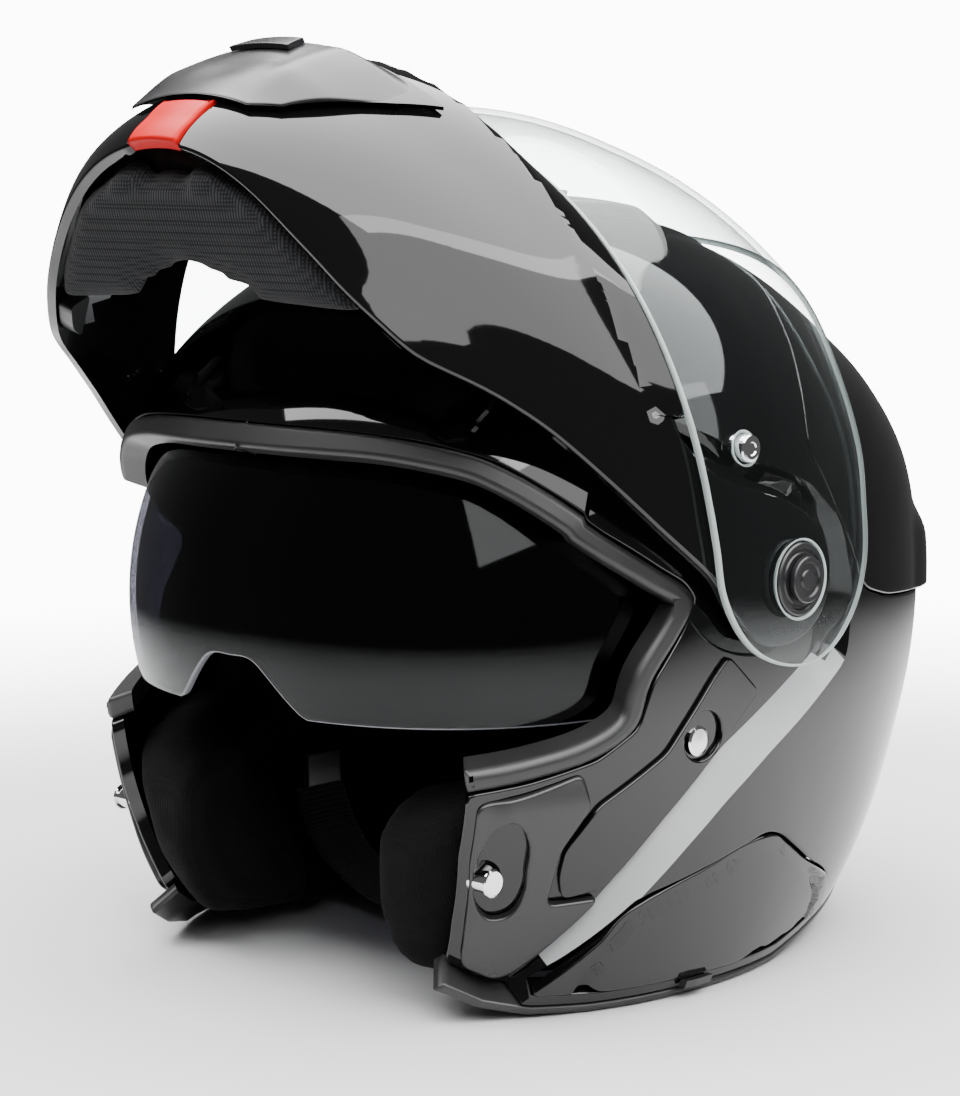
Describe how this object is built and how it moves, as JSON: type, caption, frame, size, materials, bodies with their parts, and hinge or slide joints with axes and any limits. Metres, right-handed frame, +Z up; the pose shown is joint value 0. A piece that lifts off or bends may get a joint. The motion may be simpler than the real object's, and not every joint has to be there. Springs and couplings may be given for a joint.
{
  "type": "modular motorcycle helmet",
  "caption": "Modular motorcycle helmet: gloss shell, chin bar and clear visor that swing up, smoked inner visor, latches, vents, padded lining and chin strap.",
  "frame": {"origin": "centre of the bounding box's bottom face, on the surface that the helmet stands on, chin bar raised", "axes": "+X towards the wearer's left, the face opening towards -Y, +Z up"},
  "size_m": [0.274, 0.3128, 0.3141],
  "materials": {
    "gloss_shell": "gloss",
    "satin_black": "satin",
    "rubber_trim": "matte",
    "chrome_pins": "polished",
    "hinge_steel": "satin",
    "smoked_lens": "gloss",
    "clear_lens": "gloss",
    "liner_foam": "matte",
    "lining_fabric": "matte",
    "mesh_fabric": "matte",
    "strap_webbing": "matte",
    "grey_plastic": "satin",
    "red_plastic": "gloss"
  },
  "bodies": {
    "shell": {"outer_shell": "gloss_shell", "eyeport_gasket": "rubber_trim", "bottom_trim": "rubber_trim", "side_cover_left": "gloss_shell", "side_cover_right": "gloss_shell", "rear_fairing": "gloss_shell", "rear_grille": "satin_black", "arm_seat_left": "gloss_shell", "arm_seat_right": "gloss_shell", "latch_plate_left": "satin_black", "latch_plate_right": "satin_black", "latch_pin_left": "chrome_pins", "latch_pin_right": "chrome_pins", "side_stud_left": "chrome_pins", "side_stud_right": "chrome_pins", "hinge_plate_left": "hinge_steel", "hinge_plate_right": "hinge_steel", "pivot_screw_left": "satin_black", "pivot_screw_right": "satin_black", "crown_vent": "satin_black", "sun_visor_pin_left": "hinge_steel", "sun_visor_pin_right": "hinge_steel", "eps_liner": "liner_foam", "crown_pad": "lining_fabric", "cheek_pad_left": "lining_fabric", "cheek_pad_right": "lining_fabric", "neck_roll": "lining_fabric", "chin_strap_left": "strap_webbing", "chin_strap_right": "strap_webbing", "strap_anchor_left": "hinge_steel", "strap_anchor_right": "hinge_steel", "buckle_base": "hinge_steel", "buckle_tongue": "satin_black"},
    "chin_bar": {"chin_bar_shell": "gloss_shell", "chin_mesh_pad": "mesh_fabric", "chin_liner": "liner_foam", "arm_cap_left": "grey_plastic", "arm_cap_right": "grey_plastic", "chin_vent": "satin_black"},
    "visor": {"visor_lens": "clear_lens", "visor_hub_left": "satin_black", "visor_hub_right": "satin_black", "lens_pin_left": "chrome_pins", "lens_pin_right": "chrome_pins"},
    "release_button": {"release_button": "red_plastic"},
    "latch_hook_left": {"latch_hook_left": "hinge_steel"},
    "latch_hook_right": {"latch_hook_right": "hinge_steel"},
    "chin_vent_shutter": {"chin_vent_shutter": "satin_black"},
    "sun_visor": {"sun_visor_lens": "smoked_lens"},
    "sun_visor_slider": {"sun_visor_slider": "satin_black"},
    "crown_vent_slider": {"crown_vent_slider": "satin_black"},
    "buckle_lever": {"buckle_lever": "red_plastic"}
  },
  "joints": [
    {"name": "chin_bar_lift", "type": "hinge", "parent": "shell", "child": "chin_bar", "pos_m": [0, -0.00073, 0.139], "axis": [1, 0, 0], "range_deg": [0, 80]},
    {"name": "visor_lift", "type": "hinge", "parent": "chin_bar", "child": "visor", "pos_m": [0, -0.00073, 0.139], "axis": [-1, 0, 0], "range_deg": [0, 8]},
    {"name": "release_button_press", "type": "slide", "parent": "chin_bar", "child": "release_button", "axis": [0, 0.1736, -0.9848], "range_m": [0, 0.003], "stiffness_N_per_m": 1500},
    {"name": "latch_hook_left_turn", "type": "hinge", "parent": "chin_bar", "child": "latch_hook_left", "pos_m": [0.0886, -0.10318, 0.2367], "axis": [-1, 0, 0], "range_deg": [0, 12]},
    {"name": "latch_hook_right_turn", "type": "hinge", "parent": "chin_bar", "child": "latch_hook_right", "pos_m": [-0.0886, -0.10318, 0.2367], "axis": [-1, 0, 0], "range_deg": [0, 12]},
    {"name": "chin_vent_shutter_slide", "type": "slide", "parent": "chin_bar", "child": "chin_vent_shutter", "axis": [0, 0.9848, 0.174], "range_m": [0, 0.0025]},
    {"name": "sun_visor_lift", "type": "hinge", "parent": "shell", "child": "sun_visor", "pos_m": [0, -0.02474, 0.124], "axis": [-1, 0, 0], "range_deg": [0, 55]},
    {"name": "sun_visor_slider_slide", "type": "slide", "parent": "shell", "child": "sun_visor_slider", "axis": [0, 1, 0], "range_m": [0, 0.016]},
    {"name": "crown_vent_slide", "type": "slide", "parent": "shell", "child": "crown_vent_slider", "axis": [0, 1, 0], "range_m": [0, 0.008]},
    {"name": "buckle_lever_lift", "type": "hinge", "parent": "shell", "child": "buckle_lever", "pos_m": [0.021, -0.01873, 0.0089], "axis": [0, 1, 0], "range_deg": [0, 60]}
  ],
  "couplings": [
    {"joint": "latch_hook_left_turn", "follows": "release_button_press", "rad_per_m": 69.8},
    {"joint": "latch_hook_right_turn", "follows": "release_button_press", "rad_per_m": 69.8},
    {"joint": "sun_visor_slider_slide", "follows": "sun_visor_lift", "m_per_rad": 0.01666}
  ]
}
